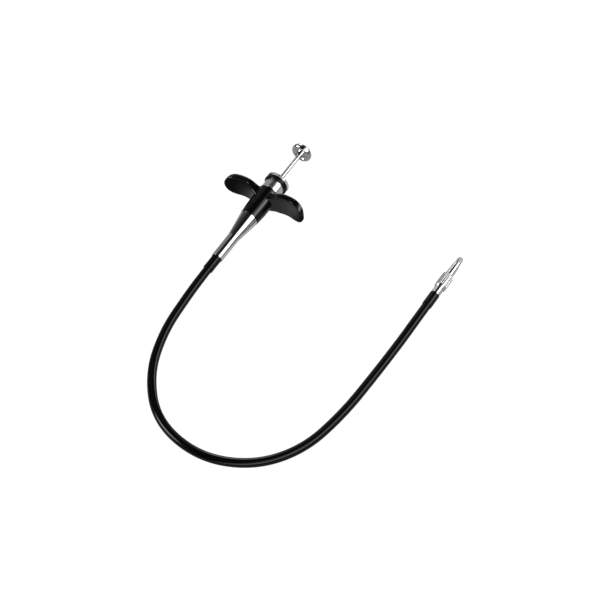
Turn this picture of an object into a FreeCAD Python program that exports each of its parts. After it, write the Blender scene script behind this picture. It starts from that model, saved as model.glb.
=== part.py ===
import FreeCAD, Part
import math
import os
import Sketcher

# Cable shutter release, millimetres, +Z up. It lies on a table: the two finger wings and the end
# of the strain relief rest on it, so the handle's axis climbs a little towards the button (+Y).
# The cable lies in one loose U beside the handle and ends in the threaded tip, which points +Y.
# Handle pieces are turned about their own Z axis, counted from the cable end of the cone sleeve.
# Tip pieces are turned about their own Z axis, counted from the rear end of the tip boot.

SIZES = {
    # the cable
    "cable_radius": 2.0,
    "jacket_bore": 1.32,
    "conduit_radius": 1.3,
    "conduit_bore": 0.75,
    "core_radius": 0.45,
    # how the handle lies
    "handle_tilt": 4.52,
    "handle_start": -33.3,
    # strain relief, sleeve and grip, along the handle's axis
    "relief_radius": 2.35,
    "relief_length": 7.2,
    "relief_grip": 5.0,
    "relief_spigot": 2.0,
    "sleeve_radius": 2.72,
    "sleeve_straight": 13.3,
    "sleeve_top": 26.0,
    "sleeve_top_radius": 4.45,
    "sleeve_bore": 2.2,
    "sleeve_spigot_radius": 3.6,
    "sleeve_spigot_end": 29.0,
    "grip_radius": 4.55,
    "grip_waist": 31.6,
    "grip_waist_radius": 5.0,
    "grip_top": 43.2,
    "grip_top_radius": 5.2,
    "neck_spigot_radius": 3.9,
    "neck_radius": 4.8,
    "neck_bore": 3.5,
    "neck_end": 48.2,
    # finger wings
    "wing_span": 21.3,
    "wing_chord": 6.0,
    "wing_corner": 5.6,
    "wing_root_across": 4.2,
    "wing_root_chord": 4.6,
    "wing_full_across": 8.3,
    # how far a cut runs past the piece it cuts
    "overshoot": 1.0,
    # return spring and its liner
    "conduit_end": 12.0,
    "bush_start": 12.6,
    "barrel_start": 16.0,
    "barrel_radius": 2.6,
    "barrel_bore": 2.25,
    "barrel_end": 37.1,
    "bush_end": 17.5,
    "wire_bore": 0.5,
    "spring_outer": 2.1,
    "spring_inner": 1.7,
    "piston_start": 35.0,
    "piston_end": 37.0,
    "piston_radius": 2.2,
    "wire_radius": 0.4,
    "wire_end": 25.3,
    # plunger rod and button
    "rod_radius": 1.0,
    "rod_end": 71.1,
    "boss_radius": 1.4,
    "boss_start": 68.3,
    "button_radius": 5.0,
    "button_under": 70.5,
    "button_widest": 72.0,
    "button_top": 74.2,
    "boss_flare": 0.7,
    "rim_inset": 0.6,
    "shoulder_rise": 0.7,
    "shoulder_inset": 1.1,
    "dome_radius": 2.2,
    "dome_drop": 0.3,
    # ball lock
    "lock_radius": 5.7,
    "skirt_bore": 4.9,
    "skirt_start": 47.8,
    "disc_start": 50.1,
    "disc_end": 51.3,
    "disc_bore": 1.15,
    "cage_radius": 1.62,
    "cage_start": 42.4,
    "ball_radius": 0.7,
    "ball_station": 43.64,
    "ball_circle": 1.77,
    "ball_hole": 0.75,
    "cone_start": 41.9,
    "cone_end": 47.4,
    "cone_wide": 2.9,
    "cone_narrow": 1.75,
    "lock_floor": 40.3,
    "floor_bore": 1.25,
    "seat_end": 47.7,
    "lock_spring_outer": 2.9,
    "lock_spring_inner": 2.3,
    # camera end
    "tip_across": 92.2,
    "tip_start": -8.5,
    "tip_height": 2.7,
    "boot_radius": 2.25,
    "boot_length": 7.5,
    "jacket_depth": 5.1,
    "conduit_depth": 6.5,
    "ferrule_radius": 2.15,
    "ferrule_end": 11.4,
    "ferrule_spigot": 1.5,
    "ferrule_spigot_end": 16.7,
    "ring_groove": 1.15,
    "ring_start": 15.1,
    "ring_end": 15.7,
    "ring_radius": 1.9,
    "nut_start": 11.5,
    "nut_end": 20.1,
    "nut_radius": 2.7,
    "nut_chamfer": 0.5,
    "nut_bore": 1.58,
    "nut_chamber": 2.1,
    "nut_shoulder": 14.95,
    "chamber_end": 17.6,
    "shank_radius": 1.6,
    "thread_wide": 1.98,
    "thread_narrow": 1.72,
    "thread_end": 26.8,
    "thread_runout": 0.2,
    "pilot_radius": 1.47,
    "pilot_end": 28.4,
    "groove_radius": 1.1,
    "groove_end": 29.0,
    "nose_radius": 1.3,
    "nose_end": 31.9,
    "nose_round": 0.8,
    "pin_radius": 0.8,
    "pin_bore": 0.85,
    "pin_start": 6.6,
    "pin_end": 32.2,
}

# The cable's corners on the table, after it has left the handle (x, y, height above the table).
ROUTE = [
    (1.0, -58.0, 2.0),
    (3.5, -79.0, 2.0),
    (11.5, -100.5, 2.0),
    (28.0, -118.5, 2.0),
    (52.0, -124.0, 2.0),
    (73.0, -116.0, 2.0),
    (86.0, -99.0, 2.0),
    (90.5, -76.0, 2.0),
    (91.6, -53.0, 2.0),
    (92.1, -30.4, 2.0),
    (92.2, -17.4, 2.7),
]

ARC_SHARE = 0.45
BALL_COUNT = 3

document = FreeCAD.newDocument("cable_release")
sheet = document.addObject("Spreadsheet::Sheet", "sizes")
for row, (alias, number) in enumerate(SIZES.items(), start=1):
    sheet.set(f"A{row}", str(number))
    sheet.setAlias(f"A{row}", alias)
document.recompute()


def size(alias):
    """The value of one cell of the sheet."""
    return float(sheet.get(alias))


def handle_placement():
    """Local Z along the handle's axis; the strain relief's end just touches the table."""
    tilt = math.radians(size("handle_tilt"))
    height = size("relief_radius") * math.cos(tilt) + size("relief_length") * math.sin(tilt)
    turn = FreeCAD.Rotation(FreeCAD.Vector(1, 0, 0), size("handle_tilt") - 90)
    return FreeCAD.Placement(FreeCAD.Vector(0, size("handle_start"), height), turn)


def tip_placement():
    """Local Z along +Y, out of the boot towards the camera."""
    turn = FreeCAD.Rotation(FreeCAD.Vector(1, 0, 0), -90)
    start = FreeCAD.Vector(size("tip_across"), size("tip_start"), size("tip_height"))
    return FreeCAD.Placement(start, turn)


def origin_feature(body, role):
    """One of a body's own origin planes or axes."""
    return next(f for f in body.Origin.OriginFeatures if f.Role == role)


def bound(text):
    """An expression in which every alias of the sheet is read from the sheet."""
    words = text.replace("(", " ( ").replace(")", " ) ").split()
    return " ".join(f"sizes.{word}" if word in SIZES else word for word in words)


def sketch_on(body, name, role):
    """An empty sketch on one of the body's origin planes."""
    sketch = body.newObject("Sketcher::SketchObject", name)
    sketch.AttachmentSupport = (origin_feature(body, role), [""])
    sketch.MapMode = "FlatFace"
    return sketch


def hold(sketch, kind, first, second, text):
    """One driving distance of a sketch, bound to the sheet."""
    index = sketch.addConstraint(Sketcher.Constraint(kind, *first, *second, 1.0))
    sketch.setExpression(f"Constraints[{index}]", bound(text))


def draw_outline(sketch, corners):
    """A closed outline of straight edges through (across, along) corners given as expressions."""
    count = len(corners)
    for index in range(count):
        here = FreeCAD.Vector(5 + index, 3 * index, 0)
        there = FreeCAD.Vector(6 + index, 3 * index + 3, 0)
        sketch.addGeometry(Part.LineSegment(here, there), False)
    for index in range(count):
        following = (index + 1) % count
        sketch.addConstraint(Sketcher.Constraint("Coincident", index, 2, following, 1))
    for index, (across, along) in enumerate(corners):
        for kind, text, axis in (("DistanceX", across, -2), ("DistanceY", along, -1)):
            if text == "0":
                sketch.addConstraint(Sketcher.Constraint("PointOnObject", index, 1, axis))
            else:
                hold(sketch, kind, (-1, 1), (index, 1), text)


def turned(label, corners, placement):
    """A body turned about its own Z axis from an outline of (radius, station) corners."""
    body = document.addObject("PartDesign::Body", label)
    body.Label = label
    profile = sketch_on(body, f"{label}_profile", "XZ_Plane")
    draw_outline(profile, corners)
    turn = body.newObject("PartDesign::Revolution", f"{label}_turning")
    turn.Profile = profile
    turn.ReferenceAxis = (profile, ["V_Axis"])
    turn.Angle = 360
    body.Placement = placement
    document.recompute()
    return body


def tube(label, bore, radius, start, end, placement):
    """A plain turned ring or tube."""
    corners = [(bore, start), (radius, start), (radius, end), (bore, end)]
    return turned(label, corners, placement)


def make_strain_relief(placement):
    """Collar at the sleeve's end, with a spigot in the sleeve and a socket for the jacket."""
    return turned("strain_relief", [
        ("cable_radius", "0 - relief_length"),
        ("relief_radius", "0 - relief_length"),
        ("relief_radius", "0"),
        ("sleeve_bore", "0"),
        ("sleeve_bore", "relief_spigot"),
        ("conduit_radius", "relief_spigot"),
        ("conduit_radius", "relief_grip - relief_length"),
        ("cable_radius", "relief_grip - relief_length"),
    ], placement)


def make_cone_sleeve(placement):
    """Metal sleeve: a cylinder that opens into a cone, with a spigot inside the grip."""
    return turned("cone_sleeve", [
        ("sleeve_bore", "0"),
        ("sleeve_radius", "0"),
        ("sleeve_radius", "sleeve_straight"),
        ("sleeve_top_radius", "sleeve_top"),
        ("sleeve_spigot_radius", "sleeve_top"),
        ("sleeve_spigot_radius", "sleeve_spigot_end"),
        ("barrel_radius", "sleeve_spigot_end"),
        ("barrel_radius", "barrel_start"),
        ("sleeve_bore", "barrel_start"),
    ], placement)


def make_guide_bush(placement):
    """Foot of the return spring, which also guides the wire."""
    return turned("guide_bush", [
        ("wire_bore", "bush_start"),
        ("sleeve_bore", "bush_start"),
        ("sleeve_bore", "bush_end"),
        ("wire_bore", "bush_end"),
    ], placement)


def make_neck_tube(placement):
    """Neck above the grip: a spigot in the grip, a floor that stops the piston, a wide bore."""
    return turned("neck_tube", [
        ("floor_bore", "barrel_end"),
        ("neck_spigot_radius", "barrel_end"),
        ("neck_spigot_radius", "grip_top"),
        ("neck_radius", "grip_top"),
        ("neck_radius", "neck_end"),
        ("neck_bore", "neck_end"),
        ("neck_bore", "lock_floor"),
        ("floor_bore", "lock_floor"),
    ], placement)


def make_lock_cone(placement):
    """Hard cone in the neck that squeezes the balls onto the rod."""
    return turned("lock_cone", [
        ("cone_wide", "cone_start"),
        ("neck_bore", "cone_start"),
        ("neck_bore", "cone_end"),
        ("cone_narrow", "cone_end"),
    ], placement)


def make_lock_skirt(placement):
    """Black ring of the lock, which slides over the neck."""
    return tube("lock_skirt", "skirt_bore", "lock_radius", "skirt_start", "disc_start", placement)


def make_lock_cage(placement):
    """Cage tube below the lock disc, with one round hole for each ball."""
    body = tube("lock_cage", "disc_bore", "cage_radius", "cage_start", "disc_start", placement)
    plain = body.Shape.Volume
    hole = sketch_on(body, "lock_cage_hole", "YZ_Plane")
    ring = hole.addGeometry(Part.Circle(FreeCAD.Vector(0, 40, 0), FreeCAD.Vector(0, 0, 1), 1), False)
    hole.addConstraint(Sketcher.Constraint("PointOnObject", ring, 3, -2))
    hold(hole, "DistanceY", (-1, 1), (ring, 3), "ball_station")
    radius = hole.addConstraint(Sketcher.Constraint("Radius", ring, 1.0))
    hole.setExpression(f"Constraints[{radius}]", bound("ball_hole"))
    cut = body.newObject("PartDesign::Pocket", "lock_cage_window")
    cut.Profile = hole
    cut.setExpression("Length", bound("cage_radius + overshoot"))
    cut.Reversed = True
    document.recompute()
    around = body.newObject("PartDesign::PolarPattern", "lock_cage_windows")
    around.Originals = [cut]
    around.Axis = (origin_feature(body, "Z_Axis"), [""])
    around.Angle = 360
    around.Occurrences = BALL_COUNT
    body.Tip = around
    document.recompute()
    removed = plain - body.Shape.Volume
    wall = size("cage_radius") - size("disc_bore")
    expected = BALL_COUNT * math.pi * size("ball_hole") ** 2 * wall
    if not 0.8 * expected < removed < 1.3 * expected:
        raise RuntimeError(f"the cage windows took {removed:.3f} instead of {expected:.3f} mm3")
    return body


def make_lock_balls(placement):
    """The steel balls that grip the rod, one in each window of the cage."""
    balls = []
    for index in range(BALL_COUNT):
        around = 2 * math.pi * index / BALL_COUNT
        ball = document.addObject("Part::Sphere", f"lock_ball_{index + 1}")
        ball.setExpression("Radius", bound("ball_radius"))
        centre = FreeCAD.Vector(
            size("ball_circle") * math.cos(around),
            size("ball_circle") * math.sin(around),
            size("ball_station"),
        )
        ball.Placement = FreeCAD.Placement(centre, FreeCAD.Rotation())
        balls.append(ball)
    group = document.addObject("Part::Compound", "lock_balls")
    group.Links = balls
    group.Label = "lock_balls"
    group.Placement = placement
    document.recompute()
    return group


def make_button(placement):
    """Mushroom button: a small boss on the rod, a rounded underside, a low dome."""
    return turned("button_cap", [
        ("rod_radius", "boss_start"),
        ("boss_radius", "boss_start"),
        ("boss_radius", "boss_start + boss_flare"),
        ("boss_radius + boss_flare", "button_under - boss_flare"),
        ("button_radius - shoulder_inset", "button_under - rim_inset * 0.5"),
        ("button_radius - rim_inset", "button_under + rim_inset * 0.2"),
        ("button_radius", "button_widest - rim_inset"),
        ("button_radius", "button_widest"),
        ("button_radius - rim_inset * 0.4", "button_widest + shoulder_rise"),
        ("button_radius - shoulder_inset", "button_widest + shoulder_rise * 2"),
        ("dome_radius", "button_top - dome_drop"),
        ("0", "button_top"),
        ("0", "rod_end"),
        ("rod_radius", "rod_end"),
    ], placement)


def make_plunger(placement):
    """Everything that travels with the button."""
    parts = [make_button(placement)]
    for label, bore, radius, start, end in (
        ("plunger_rod", "0", "rod_radius", "piston_start", "rod_end"),
        ("rod_piston", "rod_radius", "piston_radius", "piston_start", "piston_end"),
        ("plunger_wire", "0", "wire_radius", "wire_end", "piston_start"),
    ):
        parts.append(tube(label, bore, radius, start, end, placement))
    return parts


def make_lock(placement):
    """Everything that travels with the lock ring."""
    return [
        make_lock_skirt(placement),
        tube("lock_disc", "disc_bore", "lock_radius", "disc_start", "disc_end", placement),
        make_lock_cage(placement),
        make_lock_balls(placement),
    ]


def make_handle_tubes(placement):
    """Springs, liners and washers: plain tubes inside the handle."""
    rows = (
        ("spring_barrel", "barrel_bore", "barrel_radius", "barrel_start", "barrel_end"),
        ("return_spring", "spring_inner", "spring_outer", "bush_end", "piston_start"),
        ("conduit_anchor", "conduit_radius", "sleeve_bore", "relief_spigot", "conduit_end"),
        ("lock_spring_seat", "cone_narrow", "neck_bore", "cone_end", "seat_end"),
        ("lock_spring", "lock_spring_inner", "lock_spring_outer", "seat_end", "disc_start"),
    )
    return [tube(*row, placement) for row in rows]


def closed_ring(sketch, corners):
    """Straight edges through corners, back to the first."""
    for here, there in zip(corners, corners[1:] + corners[:1]):
        start = FreeCAD.Vector(*here, 0)
        end = FreeCAD.Vector(*there, 0)
        sketch.addGeometry(Part.LineSegment(start, end), False)


def wing_outline(sketch):
    """Both finger wings seen along the chord: arched undersides, flatter tops, swept tips.

    Each corner is (across, along the axis): the top side out to the tip, then the underside back.
    """
    tip = size("wing_span")
    root = size("grip_waist_radius")
    top = size("grip_top") - 1.0
    below = size("grip_top") - 6.8
    right = [
        (0.0, top),
        (root, top),
        (6.5, 42.3),
        (10.5, 42.8),
        (15.2, 42.5),
        (18.0, 41.7),
        (20.4, 40.2),
        (tip, 38.6),
        (tip - 0.4, 37.7),
        (19.5, 38.0),
        (16.0, 38.8),
        (11.5, 39.5),
        (8.3, 39.2),
        (6.2, 38.3),
        (root, below),
        (0.0, below),
    ]
    left = [(-across, along) for across, along in reversed(right[1:-1])]
    closed_ring(sketch, right + left)


def wing_plan(sketch):
    """What the wings keep, seen along the axis: everything outside this outline is cut off."""
    span = size("wing_span")
    chord = size("wing_chord")
    waist = (size("wing_root_across"), size("wing_root_chord"))
    shoulder = (size("wing_full_across"), chord)
    flat = (span - size("wing_corner"), chord)
    far = 3 * span
    closed_ring(sketch, [(-far, -far), (far, -far), (far, far), (-far, far)])
    for up in (1, -1):
        stretch = [(-flat[0], flat[1]), (-shoulder[0], shoulder[1]), (-waist[0], waist[1])]
        stretch += [waist, shoulder, flat]
        for here, there in zip(stretch, stretch[1:]):
            start = FreeCAD.Vector(here[0], up * here[1], 0)
            end = FreeCAD.Vector(there[0], up * there[1], 0)
            sketch.addGeometry(Part.LineSegment(start, end), False)
    for side in (1, -1):
        bulge = FreeCAD.Vector(side * span, 0, 0)
        low = FreeCAD.Vector(side * flat[0], -chord, 0)
        high = FreeCAD.Vector(side * flat[0], chord, 0)
        sketch.addGeometry(Part.Arc(low, bulge, high), False)


def make_finger_grip(placement):
    """Moulded grip: a barrel that widens upwards, two finger wings, and the stepped bore."""
    body = document.addObject("PartDesign::Body", "finger_grip")
    body.Label = "finger_grip"
    side = sketch_on(body, "wing_side", "XZ_Plane")
    wing_outline(side)
    wings = body.newObject("PartDesign::Pad", "wings")
    wings.Profile = side
    wings.Midplane = True
    wings.setExpression("Length", bound("wing_chord * 2"))
    document.recompute()
    plan = sketch_on(body, "wing_plan", "XY_Plane")
    wing_plan(plan)
    trim = body.newObject("PartDesign::Pocket", "wing_trim")
    trim.Profile = plan
    trim.Type = 1
    trim.Reversed = True
    document.recompute()
    barrel = sketch_on(body, "barrel_profile", "XZ_Plane")
    draw_outline(barrel, [
        ("0", "sleeve_top"),
        ("grip_radius", "sleeve_top"),
        ("grip_waist_radius", "grip_waist"),
        ("grip_top_radius", "grip_top"),
        ("0", "grip_top"),
    ])
    turn = body.newObject("PartDesign::Revolution", "barrel")
    turn.Profile = barrel
    turn.ReferenceAxis = (barrel, ["V_Axis"])
    turn.Angle = 360
    document.recompute()
    solid = body.Shape.Volume
    bore = sketch_on(body, "bore_profile", "XZ_Plane")
    draw_outline(bore, [
        ("0", "sleeve_top - overshoot"),
        ("sleeve_spigot_radius", "sleeve_top - overshoot"),
        ("sleeve_spigot_radius", "sleeve_spigot_end"),
        ("barrel_radius", "sleeve_spigot_end"),
        ("barrel_radius", "barrel_end"),
        ("neck_spigot_radius", "barrel_end"),
        ("neck_spigot_radius", "grip_top + overshoot"),
        ("0", "grip_top + overshoot"),
    ])
    groove = body.newObject("PartDesign::Groove", "stepped_bore")
    groove.Profile = bore
    groove.ReferenceAxis = (bore, ["V_Axis"])
    groove.Angle = 360
    body.Placement = placement
    document.recompute()
    if body.Shape.Volume > 0.8 * solid:
        raise RuntimeError("the grip's bore cut nothing")
    return body


def make_tip_boot(placement):
    """Black boot over the cable's end and the ferrule's spigot."""
    return tube("tip_boot", "cable_radius", "boot_radius", "0", "boot_length", placement)


def make_tip_ferrule(placement):
    """Plain ferrule: a spigot in the boot, a collar, and a grooved spigot for the nut."""
    return turned("tip_ferrule", [
        ("conduit_radius", "jacket_depth"),
        ("cable_radius", "jacket_depth"),
        ("cable_radius", "boot_length"),
        ("ferrule_radius", "boot_length"),
        ("ferrule_radius", "ferrule_end"),
        ("ferrule_spigot", "ferrule_end"),
        ("ferrule_spigot", "ring_start"),
        ("ring_groove", "ring_start"),
        ("ring_groove", "ring_end"),
        ("ferrule_spigot", "ring_end"),
        ("ferrule_spigot", "ferrule_spigot_end"),
        ("pin_bore", "ferrule_spigot_end"),
        ("pin_bore", "conduit_depth"),
        ("conduit_radius", "conduit_depth"),
    ], placement)


def make_swivel_nut(placement):
    """Nut that turns on the ferrule's spigot, held by the ring in its chamber."""
    return turned("swivel_nut", [
        ("nut_bore", "nut_start"),
        ("nut_radius - nut_chamfer", "nut_start"),
        ("nut_radius", "nut_start + nut_chamfer"),
        ("nut_radius", "nut_end - nut_chamfer"),
        ("nut_radius - nut_chamfer", "nut_end"),
        ("shank_radius", "nut_end"),
        ("shank_radius", "chamber_end"),
        ("nut_chamber", "chamber_end"),
        ("nut_chamber", "nut_shoulder"),
        ("nut_bore", "nut_shoulder"),
    ], placement)


def make_tip_screw(placement):
    """Tapered screw with its shank in the nut, a smooth pilot, a groove and a round nose."""
    return turned("tip_screw", [
        ("pin_bore", "chamber_end"),
        ("shank_radius", "chamber_end"),
        ("shank_radius", "nut_end"),
        ("thread_wide", "nut_end"),
        ("thread_narrow", "thread_end"),
        ("pilot_radius", "thread_end + thread_runout"),
        ("pilot_radius", "pilot_end"),
        ("groove_radius", "pilot_end"),
        ("groove_radius", "groove_end"),
        ("nose_radius", "groove_end"),
        ("nose_radius", "nose_end - nose_round"),
        ("nose_radius - 0.1", "nose_end - nose_round * 0.5"),
        ("nose_radius - 0.3", "nose_end"),
        ("pin_bore", "nose_end"),
    ], placement)


def make_tip(placement):
    """The camera end: boot, ferrule, ring, swivel nut, screw and pin."""
    return [
        make_tip_boot(placement),
        make_tip_ferrule(placement),
        tube("tip_retaining_ring", "ring_groove", "ring_radius", "ring_start", "ring_end", placement),
        make_swivel_nut(placement),
        make_tip_screw(placement),
        tube("tip_pin", "0", "pin_radius", "pin_start", "pin_end", placement),
    ]


def cable_corners(handle, tip):
    """The cable's corners: two on the handle's axis, those on the table, one in the tip boot."""
    start = handle.multVec(FreeCAD.Vector(0, 0, size("relief_grip") - size("relief_length")))
    along = handle.Rotation.multVec(FreeCAD.Vector(0, 0, 1))
    landing = start - along * ((start.z - size("cable_radius")) / along.z)
    end = tip.multVec(FreeCAD.Vector(0, 0, size("jacket_depth")))
    return [start, landing] + [FreeCAD.Vector(*corner) for corner in ROUTE] + [end]


def rounded_path(corners):
    """Straight runs joined by tangent arcs, each as large as its two runs allow."""
    edges = []
    radii = []
    here = corners[0]
    for before, corner, after in zip(corners, corners[1:], corners[2:]):
        back = before - corner
        ahead = after - corner
        reach = ARC_SHARE * min(back.Length, ahead.Length)
        half_turn = (math.pi - back.getAngle(ahead)) / 2
        back.normalize()
        ahead.normalize()
        radius = reach / math.tan(half_turn)
        towards_centre = back + ahead
        towards_centre.normalize()
        centre = corner + towards_centre * (radius / math.cos(half_turn))
        arc_start = corner + back * reach
        arc_middle = centre - towards_centre * radius
        arc_end = corner + ahead * reach
        edges.append(Part.LineSegment(here, arc_start).toShape())
        edges.append(Part.Arc(arc_start, arc_middle, arc_end).toShape())
        radii.append(radius)
        here = arc_end
    edges.append(Part.LineSegment(here, corners[-1]).toShape())
    return edges, radii


def swept(label, bore, radius, edges):
    """A round tube (or a rod, if bore is 0) along joined edges."""
    path = Part.Wire(edges)
    start = edges[0].valueAt(edges[0].FirstParameter)
    heading = edges[0].tangentAt(edges[0].FirstParameter)
    face = Part.Face(Part.Wire(Part.makeCircle(radius, start, heading)))
    section = math.pi * (radius**2 - bore**2)
    if bore:
        hole = Part.Face(Part.Wire(Part.makeCircle(bore, start, heading)))
        face = face.cut(hole).Faces[0]
    tube_shape = path.makePipe(face)
    expected = section * path.Length
    if abs(tube_shape.Volume - expected) > 0.02 * expected:
        raise RuntimeError(f"{label}: {tube_shape.Volume:.1f} mm3 instead of {expected:.1f}")
    feature = document.addObject("Part::Feature", label)
    feature.Label = label
    feature.Shape = tube_shape
    feature.Placement = FreeCAD.Placement()
    return feature


def make_cable(handle, tip):
    """Jacket, conduit and core, all along one path; the last two run on at both ends."""
    corners = cable_corners(handle, tip)
    edges, radii = rounded_path(corners)
    print("cable length", round(Part.Wire(edges).Length, 1))
    print("cable radii", [round(radius, 1) for radius in radii])
    above = handle.multVec(FreeCAD.Vector(0, 0, size("conduit_end")))
    beyond = tip.multVec(FreeCAD.Vector(0, 0, size("conduit_depth")))
    first = Part.LineSegment(above, corners[0]).toShape()
    last = Part.LineSegment(corners[-1], beyond).toShape()
    whole = [first] + edges + [last]
    return [
        swept("cable_jacket", size("jacket_bore"), size("cable_radius"), edges),
        swept("spiral_conduit", size("conduit_bore"), size("conduit_radius"), whole),
        swept("core_wire", 0, size("core_radius"), whole),
    ]


def check_and_write(parts):
    """Every object of the document is sound, and every sub-part is a valid solid."""
    document.recompute()
    for thing in document.Objects:
        if "Invalid" in thing.State or "Error" in thing.State:
            raise RuntimeError(f"{thing.Name} failed: {thing.State}")
    os.makedirs("parts", exist_ok=True)
    for part in parts:
        shape = part.Shape
        if shape.isNull() or not shape.isValid() or not shape.Solids:
            raise RuntimeError(f"{part.Label} has no valid solid")
        shape.exportStep(f"parts/{part.Label}.step")
        print(part.Label, len(shape.Solids), round(shape.Volume, 2))


def build():
    """The whole release."""
    handle = handle_placement()
    tip = tip_placement()
    parts = [
        make_strain_relief(handle),
        make_cone_sleeve(handle),
        make_guide_bush(handle),
        make_finger_grip(handle),
        make_neck_tube(handle),
        make_lock_cone(handle),
    ]
    parts += make_handle_tubes(handle)
    parts += make_plunger(handle)
    parts += make_lock(handle)
    parts += make_tip(tip)
    parts += make_cable(handle, tip)
    check_and_write(parts)


build()
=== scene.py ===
import math

import bmesh
import bpy
import numpy as np
from mathutils import Matrix, Vector


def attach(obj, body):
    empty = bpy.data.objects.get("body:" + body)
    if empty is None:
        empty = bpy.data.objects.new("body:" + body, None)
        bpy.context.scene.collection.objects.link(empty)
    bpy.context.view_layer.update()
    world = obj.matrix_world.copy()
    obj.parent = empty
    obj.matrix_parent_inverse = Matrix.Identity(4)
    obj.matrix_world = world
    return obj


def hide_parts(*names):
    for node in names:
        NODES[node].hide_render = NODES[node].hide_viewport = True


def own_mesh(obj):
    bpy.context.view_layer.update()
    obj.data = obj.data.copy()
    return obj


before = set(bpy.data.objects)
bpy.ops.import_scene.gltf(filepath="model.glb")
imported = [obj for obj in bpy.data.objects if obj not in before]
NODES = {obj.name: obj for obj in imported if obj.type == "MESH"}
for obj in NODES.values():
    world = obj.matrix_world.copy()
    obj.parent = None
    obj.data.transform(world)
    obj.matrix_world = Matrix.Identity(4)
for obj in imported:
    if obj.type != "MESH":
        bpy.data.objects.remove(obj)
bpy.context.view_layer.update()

# A cable release on a white table. The pieces' lengths are millimetres until they go into a mesh;
# the cable's route, the camera and the lights are in metres.
# Handle pieces are drawn about their own Z axis, counted from the cable end of the cone sleeve;
# tip pieces are drawn about their own Z axis, counted from the rear end of the tip boot.

MM = 0.001

HANDLE_TILT = math.radians(4.52)
RELIEF_RADIUS = 2.35
RELIEF_LENGTH = 7.2
HANDLE_START = (
    0.0,
    -33.3 * MM,
    (RELIEF_RADIUS * math.cos(HANDLE_TILT) + RELIEF_LENGTH * math.sin(HANDLE_TILT)) * MM,
)
TIP_START = (92.2 * MM, -8.5 * MM, 2.7 * MM)
HANDLE = Matrix.Translation(HANDLE_START) @ Matrix.Rotation(HANDLE_TILT - math.pi / 2, 4, "X")
TIP = Matrix.Translation(TIP_START) @ Matrix.Rotation(-math.pi / 2, 4, "X")

# The cable's route: out of the strain relief, down to the table, round and into the boot.
CABLE_RADIUS = 2.0
CABLE_ROUTE = [
    (0.0, -0.035493, 0.002737),
    (0.0, -0.044812, 0.0020),
    (0.0010, -0.0580, 0.0020),
    (0.0035, -0.0790, 0.0020),
    (0.0115, -0.1005, 0.0020),
    (0.0280, -0.1185, 0.0020),
    (0.0520, -0.1240, 0.0020),
    (0.0730, -0.1160, 0.0020),
    (0.0860, -0.0990, 0.0020),
    (0.0905, -0.0760, 0.0020),
    (0.0916, -0.0530, 0.0020),
    (0.0921, -0.0304, 0.0020),
    (0.0922, -0.0174, 0.0027),
    (0.0922, -0.0034, 0.0027),
]


# ---------------------------------------------------------------- camera


# Focal length in millimetres, and turn in degrees.
CAMERA_LENS = 85.4
CAMERA_PLACE = (0.25814, -0.37225, 0.48478)
CAMERA_TURN = (39.49, 0.179, 31.823)


def set_camera():
    """The camera stands in front, to the right and well above the table."""
    lens = bpy.data.cameras.new("table_camera")
    lens.lens = CAMERA_LENS
    lens.sensor_width = 36
    lens.clip_start = 0.01
    lens.clip_end = 20
    camera = bpy.data.objects.new("table_camera", lens)
    camera.location = CAMERA_PLACE
    camera.rotation_euler = [math.radians(turn) for turn in CAMERA_TURN]
    bpy.context.scene.collection.objects.link(camera)
    bpy.context.scene.camera = camera


# ---------------------------------------------------------------- node helpers


def put(tree, kind, **settings):
    """A new node with some of its settings changed."""
    made = tree.nodes.new(kind)
    for name, value in settings.items():
        setattr(made, name, value)
    return made


def feed(tree, node, **values):
    """Number or link into a node's named inputs; an underscore stands for a space."""
    for name, value in values.items():
        socket = node.inputs[name.replace("_", " ")]
        if isinstance(value, bpy.types.NodeSocket):
            tree.links.new(value, socket)
        else:
            socket.default_value = value
    return node


def maths(tree, operation, first, second=None, third=None):
    """One Math node; each operand is a number or a socket."""
    made = put(tree, "ShaderNodeMath", operation=operation)
    for index, value in enumerate((first, second, third)):
        if value is None:
            continue
        if isinstance(value, bpy.types.NodeSocket):
            tree.links.new(value, made.inputs[index])
        else:
            made.inputs[index].default_value = value
    return made.outputs[0]


def eased(tree, value, low, high, to_low=0.0, to_high=1.0):
    """Smooth step of a value from low to high."""
    made = put(tree, "ShaderNodeMapRange", interpolation_type="SMOOTHSTEP")
    feed(tree, made, Value=value, From_Min=low, From_Max=high, To_Min=to_low, To_Max=to_high)
    return made.outputs["Result"]


def mixed(tree, factor, first, second):
    """Colour between two colours, which are the Mix node's inputs 6 and 7."""
    made = put(tree, "ShaderNodeMix", data_type="RGBA")
    for index, value in ((0, factor), (6, first), (7, second)):
        if isinstance(value, bpy.types.NodeSocket):
            tree.links.new(value, made.inputs[index])
        else:
            made.inputs[index].default_value = value
    return made.outputs[2]


def shader_group(name, inputs, outputs):
    """An empty shader node group with named inputs and outputs."""
    tree = bpy.data.node_groups.new(name, "ShaderNodeTree")
    for label, kind, value in inputs:
        socket = tree.interface.new_socket(label, in_out="INPUT", socket_type=kind)
        if value is not None:
            socket.default_value = value
    for label, kind in outputs:
        tree.interface.new_socket(label, in_out="OUTPUT", socket_type=kind)
    return tree, tree.nodes.new("NodeGroupInput").outputs, tree.nodes.new("NodeGroupOutput")


# ---------------------------------------------------------------- shared surface effects


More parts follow.
